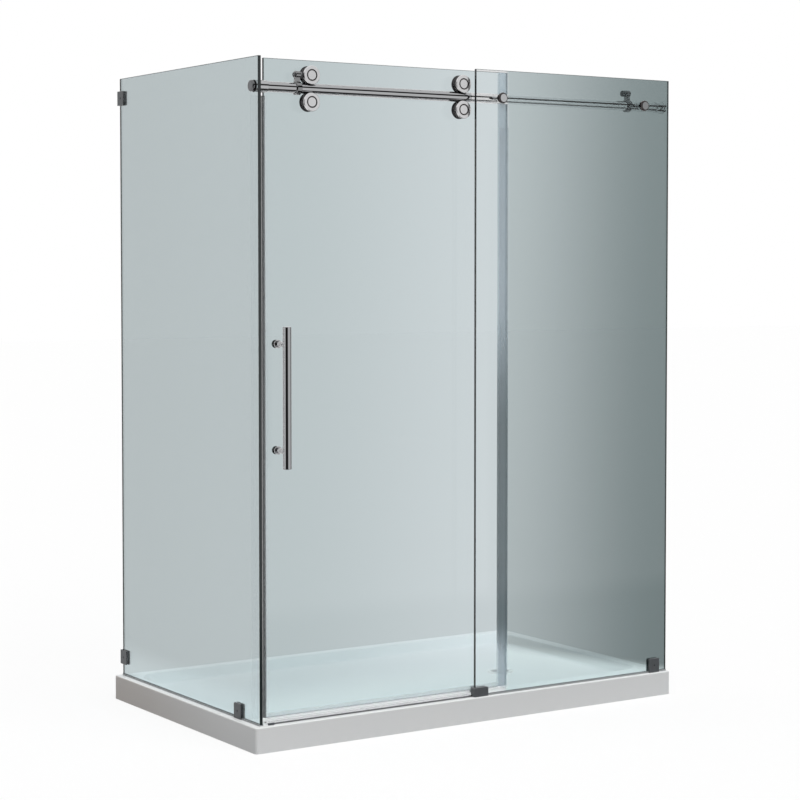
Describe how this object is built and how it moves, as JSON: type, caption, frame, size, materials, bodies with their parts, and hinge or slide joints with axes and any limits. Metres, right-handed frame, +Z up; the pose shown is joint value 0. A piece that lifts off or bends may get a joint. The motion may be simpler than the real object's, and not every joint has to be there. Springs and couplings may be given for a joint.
{
  "type": "shower enclosure with sliding door",
  "caption": "Corner shower enclosure: low tray, fixed glass return and front panels, and a frameless glass door on grooved wheels that slides along a round top rail.",
  "frame": {"origin": "middle of the tray's underside, at floor level", "axes": "+X to the right along the front, +Y from the front to the back wall, +Z up"},
  "size_m": [1.524, 0.914, 1.97],
  "materials": {
    "acrylic": "glossy white acrylic",
    "glass": "clear tempered glass with a polished edge",
    "chrome": "bright polished",
    "dark_chrome": "dark polished",
    "bright_aluminium": "bright anodised",
    "black_nylon": "satin",
    "bearing_steel": "machined",
    "clear_vinyl": "translucent soft vinyl",
    "soft_grey": "matte",
    "buffer_grey": "satin",
    "drain_plastic": "satin",
    "steel_cover": "polished"
  },
  "bodies": {
    "enclosure": {"base_seal_fixed": "clear_vinyl", "base_seal_return": "clear_vinyl", "drain_body": "drain_plastic", "drain_grate": "steel_cover", "fixed_panel": "glass", "floor_clamp_fixed": "dark_chrome", "floor_clamp_fixed_liner": "soft_grey", "floor_clamp_return": "dark_chrome", "floor_clamp_return_liner": "soft_grey", "guide_block": "dark_chrome", "guide_liner": "soft_grey", "rail": "chrome", "rail_cap_return": "chrome", "rail_socket_return": "chrome", "rail_socket_wall": "chrome", "return_panel": "glass", "shower_tray": "acrylic", "standoff_a": "chrome", "standoff_b": "chrome", "standoff_cap_a": "chrome", "standoff_cap_b": "chrome", "stop_buffer_left": "buffer_grey", "stop_buffer_right": "buffer_grey", "stop_collar_left": "chrome", "stop_collar_right": "chrome", "threshold_end": "buffer_grey", "threshold_strip": "bright_aluminium", "wall_clamp_lower": "dark_chrome", "wall_clamp_lower_liner": "soft_grey", "wall_clamp_upper": "dark_chrome", "wall_clamp_upper_liner": "soft_grey"},
    "door": {"axle_lower_left": "chrome", "axle_lower_right": "chrome", "axle_upper_left": "chrome", "axle_upper_right": "chrome", "door_panel": "glass", "door_seal_bottom": "clear_vinyl", "door_seal_leading": "clear_vinyl", "door_seal_trailing": "clear_vinyl", "glass_bush_lower_left": "soft_grey", "glass_bush_lower_right": "soft_grey", "glass_bush_upper_left": "soft_grey", "glass_bush_upper_right": "soft_grey", "handle_bar": "chrome", "handle_bolt_lower": "chrome", "handle_bolt_upper": "chrome", "handle_washer_lower": "soft_grey", "handle_washer_upper": "soft_grey", "hub_cap_lower_left": "chrome", "hub_cap_lower_right": "chrome", "hub_cap_upper_left": "chrome", "hub_cap_upper_right": "chrome"},
    "wheel_upper_left": {"wheel_upper_left": "black_nylon", "bearing_upper_left": "bearing_steel"},
    "wheel_upper_right": {"wheel_upper_right": "black_nylon", "bearing_upper_right": "bearing_steel"},
    "wheel_lower_left": {"wheel_lower_left": "black_nylon", "bearing_lower_left": "bearing_steel"},
    "wheel_lower_right": {"wheel_lower_right": "black_nylon", "bearing_lower_right": "bearing_steel"}
  },
  "joints": [
    {"name": "door_slide", "type": "slide", "parent": "enclosure", "child": "door", "axis": [1, 0, 0], "range_m": [0, 0.59]},
    {"name": "wheel_upper_left_spin", "type": "hinge", "parent": "door", "child": "wheel_upper_left", "pos_m": [-0.553, -0.407, 1.9253], "axis": [0, 1, 0], "range_deg": [0, 1470]},
    {"name": "wheel_upper_right_spin", "type": "hinge", "parent": "door", "child": "wheel_upper_right", "pos_m": [-0.024, -0.407, 1.9253], "axis": [0, 1, 0], "range_deg": [0, 1470]},
    {"name": "wheel_lower_left_spin", "type": "hinge", "parent": "door", "child": "wheel_lower_left", "pos_m": [-0.553, -0.407, 1.8487], "axis": [0, 1, 0], "range_deg": [-1470, 0]},
    {"name": "wheel_lower_right_spin", "type": "hinge", "parent": "door", "child": "wheel_lower_right", "pos_m": [-0.024, -0.407, 1.8487], "axis": [0, 1, 0], "range_deg": [-1470, 0]}
  ],
  "couplings": [
    {"joint": "wheel_upper_left_spin", "follows": "door_slide", "rad_per_m": 43.478},
    {"joint": "wheel_upper_right_spin", "follows": "door_slide", "rad_per_m": 43.478},
    {"joint": "wheel_lower_left_spin", "follows": "door_slide", "rad_per_m": -43.478},
    {"joint": "wheel_lower_right_spin", "follows": "door_slide", "rad_per_m": -43.478}
  ]
}
